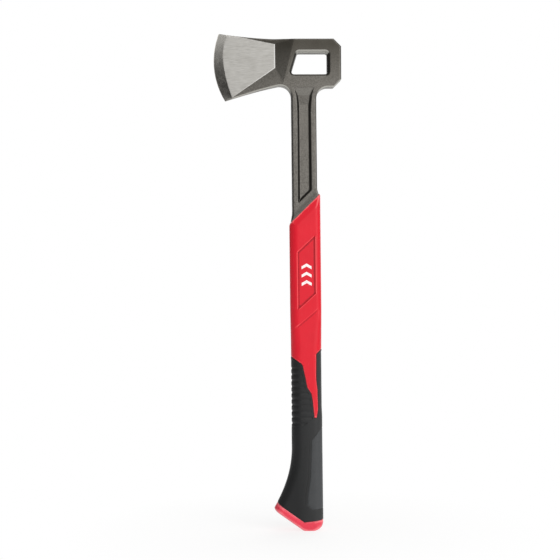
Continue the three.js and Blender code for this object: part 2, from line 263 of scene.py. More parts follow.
def inward_pull(flat, triangles):
    """At each point, the direction towards the triangles that share it."""
    pull = np.zeros_like(flat)
    centres = flat[triangles].mean(1)
    for corner in range(3):
        np.add.at(pull, triangles[:, corner], centres - flat[triangles[:, corner]])
    return pull / np.maximum(norm(pull, axis=1, keepdims=True), 1e-9)


def along(line, step):
    """Points along an open line, no further apart than the step, its corners among them."""
    line = np.asarray(line, float)
    parts = []
    for a, b in zip(line[:-1], line[1:]):
        count = max(1, math.ceil(norm(b - a) / step))
        parts.append(a + (b - a) * np.arange(count)[:, None] / count)
    return np.vstack([*parts, line[-1:]])


def inside(points, starts, ends):
    """Which points lie within the closed outlines that these segments make, by even and odd crossings."""
    x, z = points[:, 0], points[:, 1]
    odd = np.zeros(len(points), bool)
    for (ax, az), (bx, bz) in zip(starts, ends):
        if az != bz:
            crosses = ((az > z) != (bz > z)) & (x < (bx - ax) * (z - az) / (bz - az) + ax)
            odd ^= crosses
    return odd


def distance_to(points, line):
    """How far each point is from an open line."""
    line = np.asarray(line, float)
    best = np.full(len(points), 1e9)
    for a, b in zip(line[:-1], line[1:]):
        d = b - a
        t = np.clip((points - a) @ d / max(d @ d, 1e-12), 0, 1)
        best = np.minimum(best, norm(points - a - t[:, None] * d, axis=1))
    return best


def spaced(points, clearance):
    """Points with the clearance that each keeps as a third number."""
    return np.column_stack([points, np.full(len(points), clearance)])


def spread(rows, fixed, starts, ends):
    """The points of rows inside an outline that keep clear of the fixed points and of each other."""
    cell = 2.0
    bins, kept = {}, []

    def near(p, reach):
        i, j = int(p[0] // cell), int(p[1] // cell)
        for di in (-1, 0, 1):
            for dj in (-1, 0, 1):
                for q in bins.get((i + di, j + dj), ()):
                    if (p[0] - q[0]) ** 2 + (p[1] - q[1]) ** 2 < reach * reach:
                        return True
        return False

    def put(p):
        bins.setdefault((int(p[0] // cell), int(p[1] // cell)), []).append(p)

    for p in fixed:
        put(p)
    for *p, reach in rows[inside(rows, starts, ends)]:
        if not near(p, reach):
            put(p)
            kept.append(p)
    return kept


def boundary_edges(triangles):
    """The directed edges that only one triangle has."""
    directed = np.vstack([triangles[:, [0, 1]], triangles[:, [1, 2]], triangles[:, [2, 0]]])
    have = {tuple(e) for e in directed.tolist()}
    return np.array([(a, b) for a, b in have if (b, a) not in have])


# ---- The forging ----
# Its front side is a relief over the XZ plane. The CAD node gives the outline, the lines where its
# faces meet and the depth at every point. The relief then gets rounded edges and soft creases.

def merged_bmesh(data):
    mesh = bmesh.new()
    mesh.from_mesh(data)
    bmesh.ops.remove_doubles(mesh, verts=mesh.verts, dist=1e-6)
    return mesh


def front_lines(mesh):
    """The outline's and the creases' edges on the front side, as pairs of points in millimetres."""
    outline, creases = [], []
    for edge in mesh.edges:
        if len(edge.link_faces) != 2:
            continue
        centres = [np.array(f.calc_center_median()) / MM for f in edge.link_faces]
        front = [f.normal.y < FRONT_TILT and c[2] > ROOT_BOTTOM for f, c in zip(edge.link_faces, centres)]
        ends = [np.array(v.co) / MM for v in edge.verts]
        if front[0] != front[1]:
            outline.append((*ends, centres[front.index(True)], [v.index for v in edge.verts]))
        elif all(front) and edge.link_faces[0].normal.dot(edge.link_faces[1].normal) < CREASE_COS:
            creases.append(ends)
    return outline, creases


def end_tangent(chord, sign, touching):
    """A curve's tangent at one end of its chord, shared with the next chord where they nearly line up."""
    length = norm(chord)
    tangent = chord / length
    others = [d for d in touching if norm(d - sign * chord) > 1e-9]
    if len(others) == 1 and norm(others[0]) > 1e-6:
        before = -sign * others[0]
        if before @ chord / norm(before) / length > SMOOTH_COS:
            tangent = before * norm(before) + chord * length
            tangent = tangent / norm(tangent)
    return tangent * length


def rounded_outline(outline, step):
    """Samples of the outline with its arcs made smooth: points, inward directions and segments."""
    touching = {}
    for a, b, _, ids in outline:
        for here, away in ((ids[0], b - a), (ids[1], a - b)):
            touching.setdefault(here, []).append(away[[0, 2]])
    points, inward, segments = [], [], []
    for a, b, centre, ids in outline:
        p, q = a[[0, 2]], b[[0, 2]]
        chord = q - p
        length = norm(chord)
        if length < 1e-6:
            continue
        leaving = end_tangent(chord, 1, touching[ids[0]])
        arriving = end_tangent(chord, -1, touching[ids[1]])
        count = max(1, math.ceil(length / step))
        t = np.arange(count + 1)[:, None] / count
        curve = (
            (2 * t**3 - 3 * t**2 + 1) * p + (t**3 - 2 * t**2 + t) * leaving
            + (3 * t**2 - 2 * t**3) * q + (t**3 - t**2) * arriving
        )
        across = np.array([-chord[1], chord[0]]) / length
        if across @ (centre[[0, 2]] - p) < 0:
            across = -across
        add_line(points, segments, curve)
        inward.extend([across] * len(curve))
    return np.array(points), np.array(inward), segments


def plane_height(plane, x, z):
    (x0, z0, h0), (x1, z1, h1), (x2, z2, h2) = plane
    turn = (x1 - x0) * (z2 - z0) - (x2 - x0) * (z1 - z0)
    u = ((x - x0) * (z2 - z0) - (x2 - x0) * (z - z0)) / turn
    v = ((x1 - x0) * (z - z0) - (x - x0) * (z1 - z0)) / turn
    return h0 + u * (h1 - h0) + v * (h2 - h0)


def bevel_place(x, z):
    """How far a point is from the cutting edge, the bevel's width there, and its direction."""
    dx, dz = x - EDGE_CENTRE[0], z - EDGE_CENTRE[1]
    reach = math.hypot(dx, dz)
    width = float(np.interp(math.degrees(math.atan2(dz, -dx)), BEVEL_ANGLES, BEVEL_WIDTHS))
    return EDGE_ARC - reach, width, (dx / reach, dz / reach)


def blade_half(x, z):
    distance, width, (dx, dz) = bevel_place(x, z)
    if distance < width:
        x, z = (c + d * (EDGE_ARC - width) for c, d in zip(EDGE_CENTRE, (dx, dz)))
    flat = max(plane_height(plane, x, z) for plane in (CHEEK_PLANE, TOP_PLANE, LOW_PLANE))
    return flat * min(1, max(distance, 0) / width)


def bevel_line(step):
    """The bevel's inner border."""
    turns = np.radians(np.arange(BEVEL_ANGLES[0], BEVEL_ANGLES[-1], math.degrees(step / EDGE_ARC)))
    reach = EDGE_ARC - np.interp(np.degrees(turns), BEVEL_ANGLES, BEVEL_WIDTHS)
    return np.column_stack([EDGE_CENTRE[0] - reach * np.cos(turns), EDGE_CENTRE[1] + reach * np.sin(turns)])


def cad_bevel(face):
    """Whether a face of the CAD node is part of the bevel's cone."""
    x, _, z = face.calc_center_median() / MM
    _, _, (dx, dz) = bevel_place(x, z)
    flat = math.hypot(face.normal.x, face.normal.z)
    return x < BLADE_END and 0.17 < flat < 0.21 and face.normal.x * dx + face.normal.z * dz > 0.999 * flat


def bevel_creases(mesh, creases):
    """The creases with the bevel's border moved to its own line."""
    border = [e for e in mesh.edges if sum(cad_bevel(f) for f in e.link_faces) == 1]
    ends = {tuple(round(c / MM, 2) for c in (v.co.x, v.co.z)) for e in border for v in e.verts}
    kept = []
    for a, b in creases:
        a, b = a[[0, 2]], b[[0, 2]]
        on = [tuple(np.round(p, 2)) in ends for p in (a, b)]
        if all(on):
            continue
        for flag, end, other in ((on[0], a, b), (on[1], b, a)):
            step = (end - other) / norm(end - other) * 0.1
            while flag and bevel_place(*end)[0] > bevel_place(*end)[1]:
                end += step
        kept.append([a, b])
    return kept


class Relief:
    """Depth of the CAD node's front side at points of the XZ plane, with the bevel's own border."""

    def __init__(self, mesh):
        self.tree = BVHTree.FromBMesh(mesh)

    def hit(self, x, z):
        """Half thickness at one point, or None off the node."""
        place = self.tree.ray_cast(Vector((x * MM, -1, z * MM)), Vector((0, 1, 0)))[0]
        if place is None:
            return None
        return blade_half(x, z) if x < BLADE_END else -place.y / MM

    def half(self, x, z):
        """Half thickness, averaged over a small even ring so that creases turn into fillets."""
        centre = self.hit(x, z)
        if centre is None:
            return None
        total, count = centre, 1
        for turn in range(4):
            dx, dz = FILLET * math.cos(turn * math.pi / 4), FILLET * math.sin(turn * math.pi / 4)
            pair = self.hit(x + dx, z + dz), self.hit(x - dx, z - dz)
            if None not in pair and abs(sum(pair) / 2 - centre) < WALL_HEIGHT:
                total += sum(pair)
                count += 2
        return total / count


def forging_relief(outline, creases):
    """The relief's points and triangles."""
    rim, inward, edges = rounded_outline(outline, FORGING_STEP)
    starts, ends = (rim[[edge[k] for edge in edges]] for k in (0, 1))
    points = list(rim)
    rows = []
    for share in RIM_ROWS:
        offset = share * EDGE_RADIUS
        rows.append(spaced(rim + inward * offset, 0.8 * min(offset, 0.9 * FORGING_STEP)))
    border = bevel_line(FORGING_STEP)
    for line in [*(along(line, FORGING_STEP) for line in creases), border[inside(border, starts, ends)]]:
        add_line(points, edges, line)
        for offset in (FILLET, -FILLET):
            rows.append(spaced(line + across_line(line) * offset, 0.8 * FILLET))
    rows.append(grid(np.min(points, axis=0), np.max(points, axis=0), FORGING_STEP))
    points += spread(np.vstack(rows), points, starts, ends)
    flat, triangles = triangulate(points, edges)
    rim_places = {tuple(p) for p in np.round(rim, 3)}
    on_rim = np.array([tuple(p) in rim_places for p in np.round(flat, 3)])
    sliver = on_rim[triangles].all(1) & (np.abs(twice_area(flat, triangles)) / 2 < SLIVER)
    return used_points(flat, triangles[inside(flat[triangles].mean(1), starts, ends) & ~sliver])


def in_window(x, z):
    x0, x1, z0, z1 = WINDOW_ZONE
    return x0 < x < x1 and z0 < z < z1


def steady(edges, values):
    """Each border point's middle value among its neighbours, three steps each way."""
    beside = {}
    for a, b in edges:
        beside.setdefault(a, []).append(b)
        beside.setdefault(b, []).append(a)
    middle = {}
    for k in beside:
        near = {k}
        for _ in range(3):
            near |= {n for m in near for n in beside[m]}
        middle[k] = float(np.median(values[list(near)]))
    return middle


def forging_depths(relief, flat, triangles):
    """Half thickness at each point, with the outline's edge rounded."""
    rim = boundary_edges(triangles)
    edge_ids = np.unique(rim)
    on_edge = np.isin(np.arange(len(flat)), edge_ids)
    nudged = flat + inward_pull(flat, triangles) * NUDGE
    halves, radii = np.zeros(len(flat)), np.zeros(len(flat))
    for i, (x, z) in enumerate(flat):
        if on_edge[i]:
            halves[i] = relief.hit(*nudged[i]) or 0.0
            radii[i] = 0.0 if in_window(x, z) else min(EDGE_RADIUS, 0.5 * halves[i])
        else:
            halves[i] = relief.half(x - ASIDE, z + ASIDE) or relief.half(x, z) or 0.0
    lands = steady(rim, halves)
    tree = KDTree(len(edge_ids))
    for k in edge_ids:
        if in_window(*flat[k]):
            halves[k] = lands[k]
        tree.insert((*flat[k], 0), int(k))
    tree.balance()
    for i, (x, z) in enumerate(flat):
        _, nearest, distance = tree.find((x, z, 0))
        radius = radii[nearest]
        if radius > 0 and distance < radius:
            halves[i] -= radius - math.sqrt(radius**2 - (radius - distance) ** 2)
    halves[on_edge & (halves < THINNEST)] = KEEN_HALF
    return halves


def two_sided(flat, triangles, halves):
    """A closed body from a relief and its mirror image."""
    count = len(flat)
    front = np.column_stack([flat[:, 0], -halves, flat[:, 1]])
    walls = [(b, a, a + count, b + count) for a, b in boundary_edges(triangles)]
    faces = [*triangles.tolist(), *(triangles[:, ::-1] + count).tolist(), *walls]
    return np.vstack([front, front * MIRROR]), faces


def tang(mesh):
    """The CAD node below the relief, a little way into it."""
    data = bpy.data.meshes.new("tang")
    mesh.to_mesh(data)
    low, high = grown_box("head_forging", 1)
    below = block("below", low, (high[0], high[1], ROOT_BOTTOM + 5))
    return boolean(add_object("tang", data), below, "INTERSECT")


def forging():
    mesh = merged_bmesh(NODES["head_forging"].data)
    mesh.normal_update()
    mesh.verts.index_update()
    outline, creases = front_lines(mesh)
    flat, triangles = forging_relief(outline, bevel_creases(mesh, creases))
    halves = forging_depths(Relief(mesh), flat, triangles)
    head = new_object("forged_head", *two_sided(flat, triangles, halves))
    boolean(head, tang(mesh), "UNION")
    cleaned = merged_bmesh(head.data)
    bmesh.ops.dissolve_degenerate(cleaned, edges=cleaned.edges, dist=1e-7)
    cleaned.to_mesh(head.data)
    return head


# ---- The handle ----
# Its skin is worked out over a flat map: s runs round one side of the section, from the front to the
# back, and z runs up. The grooves, ribs and recesses are small moves along the skin's normal.

def section(z):
    """The handle's section at each height, as a rounded rectangle."""
    grip = 1 - smooth(GRIP_FULL, GRIP_START, z)
    swell = 1 - smooth(SWELL_TO, SWELL_FROM, z)
    size = SimpleNamespace(**{k: BARE[k] + (GRIP[k] - BARE[k]) * grip for k in BARE})
    size.front = -size.side - FLARE_RATE * np.maximum(0, FLARE_START - z) ** 2
    size.half = size.half + BUTT_SWELL * swell
    size.level = size.side - size.heel - size.front - size.nose
    size.length = 2 * size.half + size.level + (math.pi / 2 - 1) * (size.nose + size.heel)
    return size


def skin(s, z):
    """The plain skin's x and half thickness at map points."""
    q = section(z)
    s = s / MAP_WIDTH * q.length
    rise = q.half - q.nose
    turn = np.clip((s - rise) / q.nose, 0, math.pi / 2)
    run = np.clip(s - rise - q.nose * math.pi / 2, 0, q.level)
    back = s - rise - q.nose * math.pi / 2 - q.level
    fall = np.clip(back / q.heel, 0, math.pi / 2)
    drop = np.clip(back - q.heel * math.pi / 2, 0, None)
    x = q.front + q.nose * (1 - np.cos(turn)) + run + q.heel * np.sin(fall)
    y = np.minimum(s, rise) + q.nose * np.sin(turn) - q.heel * (1 - np.cos(fall)) - drop
    return x, np.maximum(y, 0)


def map_place(x, z):
    """The map's s where the skin has this x, the inverse of skin()."""
    q = section(z)
    rise = q.half - q.nose
    past = x - q.front
    nose_arc = q.nose * np.arccos(np.clip(1 - past / q.nose, 0, 1))
    run = np.clip(past - q.nose, 0, q.level)
    back = np.clip((past - q.nose - q.level) / q.heel, 0, 1)
    s = rise + nose_arc + run + q.heel * np.arcsin(back)
    s = np.where(past <= 0, 0, np.where(x >= q.side, q.length, s))
    return s * MAP_WIDTH / q.length


def map_line(line, step=0.9):
    """An [x, z] line on the side of the handle as evenly spaced map points. It ends at the map's edges."""
    fine = along(line, 0.02)
    q = section(fine[:, 1])
    on_skin = (fine[:, 0] > q.front) & (fine[:, 0] < q.side)
    first, last = np.flatnonzero(on_skin)[[0, -1]]
    fine = fine[max(first - 1, 0):last + 2]
    points = np.column_stack([map_place(fine[:, 0], fine[:, 1]), fine[:, 1]])
    travelled = np.concatenate([[0], np.cumsum(norm(np.diff(points, axis=0), axis=1))])
    corners = [travelled[norm(fine - p, axis=1).argmin()] for p in np.asarray(line, float)]
    stops = np.unique(np.round([0, travelled[-1], *corners], 3))
    spans = [np.linspace(a, b, max(2, math.ceil((b - a) / step) + 1)) for a, b in zip(stops, stops[1:])]
    wanted = np.unique(np.concatenate(spans).round(4))
    return np.column_stack([np.interp(wanted, travelled, points[:, k]) for k in (0, 1)])


def solve_height(s, line):
    """At each s, the height at which the skin crosses a lower or upper [x, z] line."""
    line = np.asarray(line, float)
    low, high = np.full(len(s), -20.0), np.full(len(s), 470.0)
    for _ in range(40):
        middle = (low + high) / 2
        above = middle > np.interp(skin(s, middle)[0], line[:, 0], line[:, 1])
        high = np.where(above, middle, high)
        low = np.where(above, low, middle)
    return (low + high) / 2


def quadratic(a, b, c, count=10):
    t = np.linspace(0, 1, count)[:, None]
    a, b, c = (np.array(p, float) for p in (a, b, c))
    return (a * (1 - t) ** 2 + 2 * b * t * (1 - t) + c * t**2).tolist()


BUTT_LINE = [
    *quadratic((-45.6, 35.2), (-46, 29), (-40.4, 24.9)),
    *quadratic((-8, 1.5), (-6, 0), (-3.8, 0), 6),
    *quadratic((8, 0), (19.2, 2.6), (20.4, 10.5)),
]
COLLAR_LINE = [[x, COLLAR_HEIGHT + COLLAR_SLOPE * x] for x in (-60, 60)]


def groove(distance, width, depth):
    """A round groove along a line."""
    return -depth * (1 - smooth(0, width, distance))


def is_inside(places, outline):
    outline = np.asarray(outline, float)
    return inside(places, outline, np.roll(outline, -1, axis=0))


class Skin:
    """The handle's skin as one triangulation of the map, with the region of each triangle."""

    def __init__(self):
        drawn = {
            "front": FRONT_LINE, "tongue": [FRONT_LINE[-1], REAR_LINE[0]], "rear": REAR_LINE,
            "cap": CAP_LINE, "pad": PAD_LINE, "echo": PAD_ECHO, "foot": RIB_FOOT,
            "crease": CREASE_LINE, "panel": [*PANEL, PANEL[0]],
        }
        self.lines = {name: map_line(line) for name, line in drawn.items()}
        bottom, loop = self.edge_loop()
        points, edges = [], []
        for line in (*self.lines.values(), loop):
            add_line(points, edges, line)
        self.lines["butt"] = bottom
        points += spread(self.rows(), points, loop[:-1], loop[1:])
        flat, triangles = triangulate(points, edges)
        within = inside(flat[triangles].mean(1), loop[:-1], loop[1:])
        self.flat, self.triangles = used_points(flat, triangles[within])
        self.seam = (self.flat[:, 0] < 1e-6) | (self.flat[:, 0] > MAP_WIDTH - 1e-6)
        x, _ = skin(self.flat[:, 0], self.flat[:, 1])
        self.side_view = np.column_stack([x, self.flat[:, 1]])
        self.region = self.regions(self.side_view[self.triangles].mean(1))

    def edge_loop(self):
        """The map's lower border, and the loop right round it."""
        s = np.linspace(0, MAP_WIDTH, math.ceil(MAP_WIDTH / HANDLE_STEP) + 1)
        bottom = np.column_stack([s, solve_height(s, BUTT_LINE)])
        top = np.column_stack([s, solve_height(s, COLLAR_LINE)])[::-1]
        back = along([bottom[-1], top[0]], HANDLE_STEP)[1:-1]
        front = along([top[-1], bottom[0]], HANDLE_STEP)[1:]
        return bottom, np.vstack([bottom, back, top, front])

    def rows(self):
        """Points beside the lines, then an even grid, finer over the ribs."""
        rows = []
        for name, offsets in DETAIL_ROWS.items():
            line = self.lines[name]
            across = across_line(line, MAP_WIDTH / section(line[:, 1]).length)
            for offset in offsets:
                rows.append(spaced(line + across * offset, 0.75 * min(abs(offset), 0.4)))
        for low, high, step in HANDLE_BANDS:
            rows.append(grid((0.3 * step, low), (MAP_WIDTH, high), step))
        return np.vstack(rows)

    def regions(self, centres):
        below = [*CAP_LINE, [40, -50], [-70, -50]]
        pad, cap, grip = (is_inside(centres, outline) for outline in (PAD_LINE, below, GRIP_OUTLINE))
        return np.select([pad, cap, grip], ["pad", "cap", "grip"], "body")


def unrolled(points):
    """Map points with s as the real length round the section."""
    scale = section(points[:, 1]).length / MAP_WIDTH
    return np.column_stack([points[:, 0] * scale, points[:, 1]])


def handle_relief(skin_map):
    """How far each point of the skin moves along its normal, in millimetres."""
    view, unrolled_map = skin_map.side_view, unrolled(skin_map.flat)

    def away(name):
        return distance_to(unrolled_map, unrolled(skin_map.lines[name]))

    front, rear = away("front"), away("rear")
    border = np.minimum.reduce([front, rear, away("tongue"), away("cap")])
    grip = is_inside(view, GRIP_OUTLINE)
    in_pad = is_inside(view, PAD_LINE)
    move = groove(border, 0.85, 0.7) + groove(away("pad"), 0.7, 0.5) * grip
    move += GRIP_PROUD * grip
    move -= PAD_SUNK * in_pad

    # A raised lip runs along the grip's upper borders, and the ribbed field lies below it.
    x, z = view[:, 0], view[:, 1]
    in_field = grip & (x < RIBS_END) & is_inside(view, [*RIB_FOOT, *FRONT_LINE[::-1]])
    field = in_field * smooth(2.4, 3.4, front) * smooth(0.0, 1.0, away("foot"))
    wave = 0.5 + 0.5 * np.cos(2 * np.pi * (z - RIB_CENTRE) / RIB_PITCH)
    upper = 1 - smooth(RIB_TOP - 2, RIB_TOP + 2, z)
    move -= field * (FIELD_DEPTH + RIB_DEPTH * upper * smooth(0.45, 0.85, 1 - wave))
    rear_field = grip & ~in_pad & (x > RIBS_END) & (z > 128)
    move -= rear_field * 0.5 * smooth(2.1, 2.9, rear) * smooth(150, 166, z)
    move += groove(away("echo"), 0.5, 0.18)

    # The recessed panel, and the shallow step below it.
    move -= PANEL_DEPTH * is_inside(view, PANEL) * smooth(0, WALL_WIDTH, away("panel"))
    (x0, z0), (x1, z1) = CREASE_LINE
    slope = (z1 - z0) / (x1 - x0)
    below = (z0 + slope * (x - x0) - z) * math.cos(math.atan(slope))
    across = smooth(-17.5, -10.5, x) * (1 - smooth(12.5, 18.5, x))
    move -= STEP_DEPTH * across * smooth(0, WALL_WIDTH, below) * (1 - smooth(4, 34, below))
    return move


def handle_points(skin_map, move, flat=None):
    """Points of the near side: the skin moved along its normal, cut by the collar's bevels and rounded
    under the butt."""
    s, z = (skin_map.flat if flat is None else flat).T
    step = 0.05
    x, y = skin(s, z)
    ahead, behind = skin(s + step, z), skin(s - step, z)
    above, below = skin(s, z + step), skin(s, z - step)
    around = np.column_stack([ahead[0] - behind[0], behind[1] - ahead[1], np.zeros(len(s))])
    around[skin_map.seam] = np.where(s[skin_map.seam] < 1, -1, 1)[:, None] * np.array([0, 1, 0])
    up = np.column_stack([above[0] - below[0], below[1] - above[1], np.full(len(s), 2 * step)])
    normal = np.cross(around, up)
    normal /= norm(normal, axis=1)[:, None]
    place = np.column_stack([x, -y, z]) + normal * move[:, None]
    place[:, 1] = np.minimum(place[:, 1], 0)
    depth = (COLLAR_HEIGHT + COLLAR_SLOPE * place[:, 0] - place[:, 2]) / math.hypot(1, COLLAR_SLOPE)
    depth = np.maximum(depth, 0)
    place[:, 1] = np.maximum(place[:, 1], -COLLAR_RIM_HALF - COLLAR_BEVEL_SLOPE * depth)
    reach = np.where(z > CORNER_BEVEL_FROM, BARE["side"] - CORNER_BEVEL + depth, np.inf)
    place[:, 0] = np.clip(place[:, 0], -reach, reach)
    butt = distance_to(place[:, [0, 2]], BUTT_LINE)
    radius = np.minimum(BUTT_RADIUS, 0.45 * -place[:, 1])
    inset = np.clip(radius - butt, 0, None)
    place[:, 1] += radius - np.sqrt(np.maximum(radius**2 - inset**2, 0))
    place[skin_map.seam, 1] = 0
    return place


def drawn_in(skin_map, chosen, distance):
    """The map with the border of the chosen triangles drawn in a little."""
    flat, triangles = skin_map.flat, skin_map.triangles[chosen]
    border = np.isin(np.arange(len(flat)), boundary_edges(triangles)) & ~skin_map.seam
    moved = flat + np.where(border[:, None], inward_pull(flat, triangles) * distance, 0)
    moved[:, 0] = np.clip(moved[:, 0], 0, MAP_WIDTH)
    return moved


def both_sides(skin_map, chosen):
    """The near side's chosen triangles, their mirror images, and each point's mirror index."""
    count = len(skin_map.flat)
    mirror = np.where(skin_map.seam, np.arange(count), np.arange(count) + count)
    near = skin_map.triangles[chosen]
    return near, mirror[near][:, ::-1], mirror


def tidy_object(name, vertices, faces):
    """A new object without the points that no face uses."""
    used = np.unique(np.concatenate([np.asarray(f) for f in faces]))
    place = np.full(len(vertices), -1)
    place[used] = np.arange(len(used))
    return new_object(name, vertices[used], [place[np.asarray(f)] for f in faces])


def shell_piece(name, skin_map, chosen, outer, inner):
    """A moulded skin over the chosen triangles, on both sides of the handle."""
    near, far, _ = both_sides(skin_map, chosen)
    surface = np.vstack([near, far])
    vertices = np.vstack([outer, outer * MIRROR, inner, inner * MIRROR])
    step = 2 * len(outer)
    walls = [(b, a, a + step, b + step) for a, b in boundary_edges(surface)]
    return tidy_object(name, vertices, [*surface, *(surface[:, ::-1] + step), *walls])


def solid_piece(name, skin_map, chosen, outer):
    """A solid piece with the chosen triangles as its sides, closed straight across above and below."""
    near, far, mirror = both_sides(skin_map, chosen)
    bridges = []
    for a, b in boundary_edges(near):
        if skin_map.seam[a] and skin_map.seam[b]:
            continue
        corners = [b, a, mirror[a], mirror[b]]
        bridges.append([c for k, c in enumerate(corners) if c not in corners[:k]])
    return tidy_object(name, np.vstack([outer, outer * MIRROR]), [*near, *far, *bridges])


def handle_body(skin_map, move):
    """The red moulding: bare above, a core under the grip, and hollows for what sits in it."""
    bare = np.unique(skin_map.triangles[skin_map.region == "body"])
    sunk = np.full(len(move), -SKIN - CLEARANCE)
    sunk[bare] = move[bare]
    body = solid_piece("handle_moulding", skin_map, skin_map.region != "cap", handle_points(skin_map, sunk))
    low, high = grown_box("tang_sleeve", CLEARANCE)
    half_x, half_y = PLUG_HALF_X + CLEARANCE, PLUG_HALF_Y + CLEARANCE
    hollows = (
        ((-ROOT_HALF_X, -ROOT_HALF_Y, high[2] + CLEARANCE), (ROOT_HALF_X, ROOT_HALF_Y, HOLLOW_TOP)),
        (low - (0, 0, 2), high + (0, 0, 2)),
        ((-half_x, -half_y, -5), (half_x, half_y, PLUG_TOP + CLEARANCE)),
    )
    for corners in hollows:
        boolean(body, block("hollow", *corners), "DIFFERENCE")
    for node in ("tang_pin_upper", "tang_pin_lower"):
        low, high = grown_box(node, CLEARANCE)
        boolean(body, cross_cylinder((low + high) / 2, (high[2] - low[2]) / 2, 20), "DIFFERENCE")
    return body


def cross_cylinder(centre, radius, half_length, sides=32):
    ring = circle(radius, sides)
    vertices = [(centre[0] + a, y, centre[2] + b) for y in (-half_length, half_length) for a, b in ring]
    walls = [(i, (i + 1) % sides, sides + (i + 1) % sides, sides + i) for i in range(sides)]
    ends = [tuple(range(sides))[::-1], tuple(range(sides, 2 * sides))]
    return new_object("pin_hole", vertices, [*walls, *ends])


def grip_piece(name, skin_map, region, move):
    chosen = skin_map.region == region
    inside_map = drawn_in(skin_map, chosen, SKIN_INSET)
    inner = handle_points(skin_map, np.full(len(move), -SKIN), inside_map)
    return shell_piece(name, skin_map, chosen, handle_points(skin_map, move), inner)


def butt_cap(skin_map, move):
    cap = solid_piece("butt_end_cap", skin_map, skin_map.region == "cap", handle_points(skin_map, move))
    plug = block("plug", (-PLUG_HALF_X, -PLUG_HALF_Y, PLUG_BOTTOM), (PLUG_HALF_X, PLUG_HALF_Y, PLUG_TOP))
    return boolean(cap, plug, "UNION")


def handle():
    skin_map = Skin()
    move = handle_relief(skin_map)
    return {
        "handle_body": handle_body(skin_map, move),
        "grip_overmold": grip_piece("soft_grip", skin_map, "grip", move),
        "palm_pad": grip_piece("palm_panel", skin_map, "pad", move),
        "butt_cap": butt_cap(skin_map, move),
    }


# ---- Materials ----

class Nodes:
    """One node tree and the usual ways to add to it."""

    def __init__(self, tree):
        self.tree = tree

    def node(self, kind, inputs=None, **settings):
        node = self.tree.nodes.new(kind)
        for key, value in settings.items():
            setattr(node, key, value)
        for key, value in (inputs or {}).items():
            self.set(node.inputs[key], value)
        return node

    def set(self, socket, value):
        if isinstance(value, bpy.types.NodeSocket):
            self.tree.links.new(value, socket)
        else:
            socket.default_value = (*value, 1) if socket.type == "RGBA" else value

    def math(self, operation, a, b=0.0, c=0.0):
        return self.node("ShaderNodeMath", {0: a, 1: b, 2: c}, operation=operation).outputs["Value"]

    def times(self, a, b):
        return self.math("MULTIPLY", a, b)

    def size(self, value):
        return self.math("ABSOLUTE", value)

    def remap(self, value, from_low, from_high, to_low=0.0, to_high=1.0, **settings):
        limits = {"From Min": from_low, "From Max": from_high, "To Min": to_low, "To Max": to_high}
        return self.node("ShaderNodeMapRange", {"Value": value, **limits}, **settings).outputs["Result"]

    def mixed(self, share, a, b):
        """The output of two shaders' mix."""
        return self.node("ShaderNodeMixShader", {0: share, 1: a.outputs[0], 2: b.outputs[0]}).outputs[0]


class Look(Nodes):
    """A material made of nodes. It works in millimetres on the piece's own coordinates."""

    def __init__(self, name):
        self.material = bpy.data.materials.new(name)
        self.material.use_nodes = True
        super().__init__(self.material.node_tree)
        self.shader = self.tree.nodes["Principled BSDF"]
        coordinates = self.node("ShaderNodeTexCoord").outputs["Object"]
        self.place = self.vector("MULTIPLY", coordinates, (1 / MM,) * 3)
        split = self.node("ShaderNodeSeparateXYZ", {"Vector": self.place})
        self.x, self.y, self.z = (split.outputs[k] for k in "XYZ")

    def vector(self, operation, a, b):
        return self.node("ShaderNodeVectorMath", {0: a, 1: b}, operation=operation).outputs["Vector"]

    def noise(self, size, stretch=(1, 1, 1), detail=3.0, roughness=0.55):
        """Noise with features about this many millimetres wide."""
        place = self.vector("MULTIPLY", self.place, tuple(1 / size / s for s in stretch))
        inputs = {"Vector": place, "Scale": 1.0, "Detail": detail, "Roughness": roughness}
        return self.node("ShaderNodeTexNoise", inputs).outputs["Fac"]

    def cells(self, size):
        place = self.vector("MULTIPLY", self.place, (1 / size,) * 3)
        return self.node("ShaderNodeTexVoronoi", {"Vector": place, "Scale": 1.0}).outputs["Distance"]

    def facing(self, axis):
        """The surface normal's part along one of the piece's own axes."""
        normal = self.node("ShaderNodeTexCoord").outputs["Normal"]
        return self.node("ShaderNodeSeparateXYZ", {"Vector": normal}).outputs[axis]

    def pointiness(self):
        """Above a half on convex edges and below it in hollows."""
        return self.node("ShaderNodeNewGeometry").outputs["Pointiness"]

    def vary(self, noise, low, high):
        """A noise's middle range spread over another one."""
        return self.remap(noise, *NOISE_RANGE, low, high)

    def blend(self, factor, a, b):
        """A colour between a and b."""
        return self.node("ShaderNodeMix", {0: factor, 6: a, 7: b}, data_type="RGBA").outputs[2]

    def layer(self, base, over, value, low, high, share=1.0):
        """The base colour with another over it, from none of it at low to this share at high."""
        return self.blend(self.remap(value, low, high, 0, share), base, over)

    def bump(self, height, depth, below=None):
        """Relief of this depth in millimetres, on top of another relief."""
        inputs = {"Height": height, "Distance": depth * MM, "Strength": 1.0}
        if below is not None:
            inputs["Normal"] = below
        return self.node("ShaderNodeBump", inputs).outputs["Normal"]

    def finish(self, **values):
        for name, value in values.items():
            self.set(self.shader.inputs[name.replace("_", " ").title().replace("Ior", "IOR")], value)
        return self.material


def scaled(color, share, lift=0.0):
    return tuple(share * c + lift for c in color)


def rim_faces(look):
    """Sides that slope at least a little, and not the outline's walls, which are square to Y."""
    return look.remap(look.size(look.facing("Y")), 0.06, 0.25)


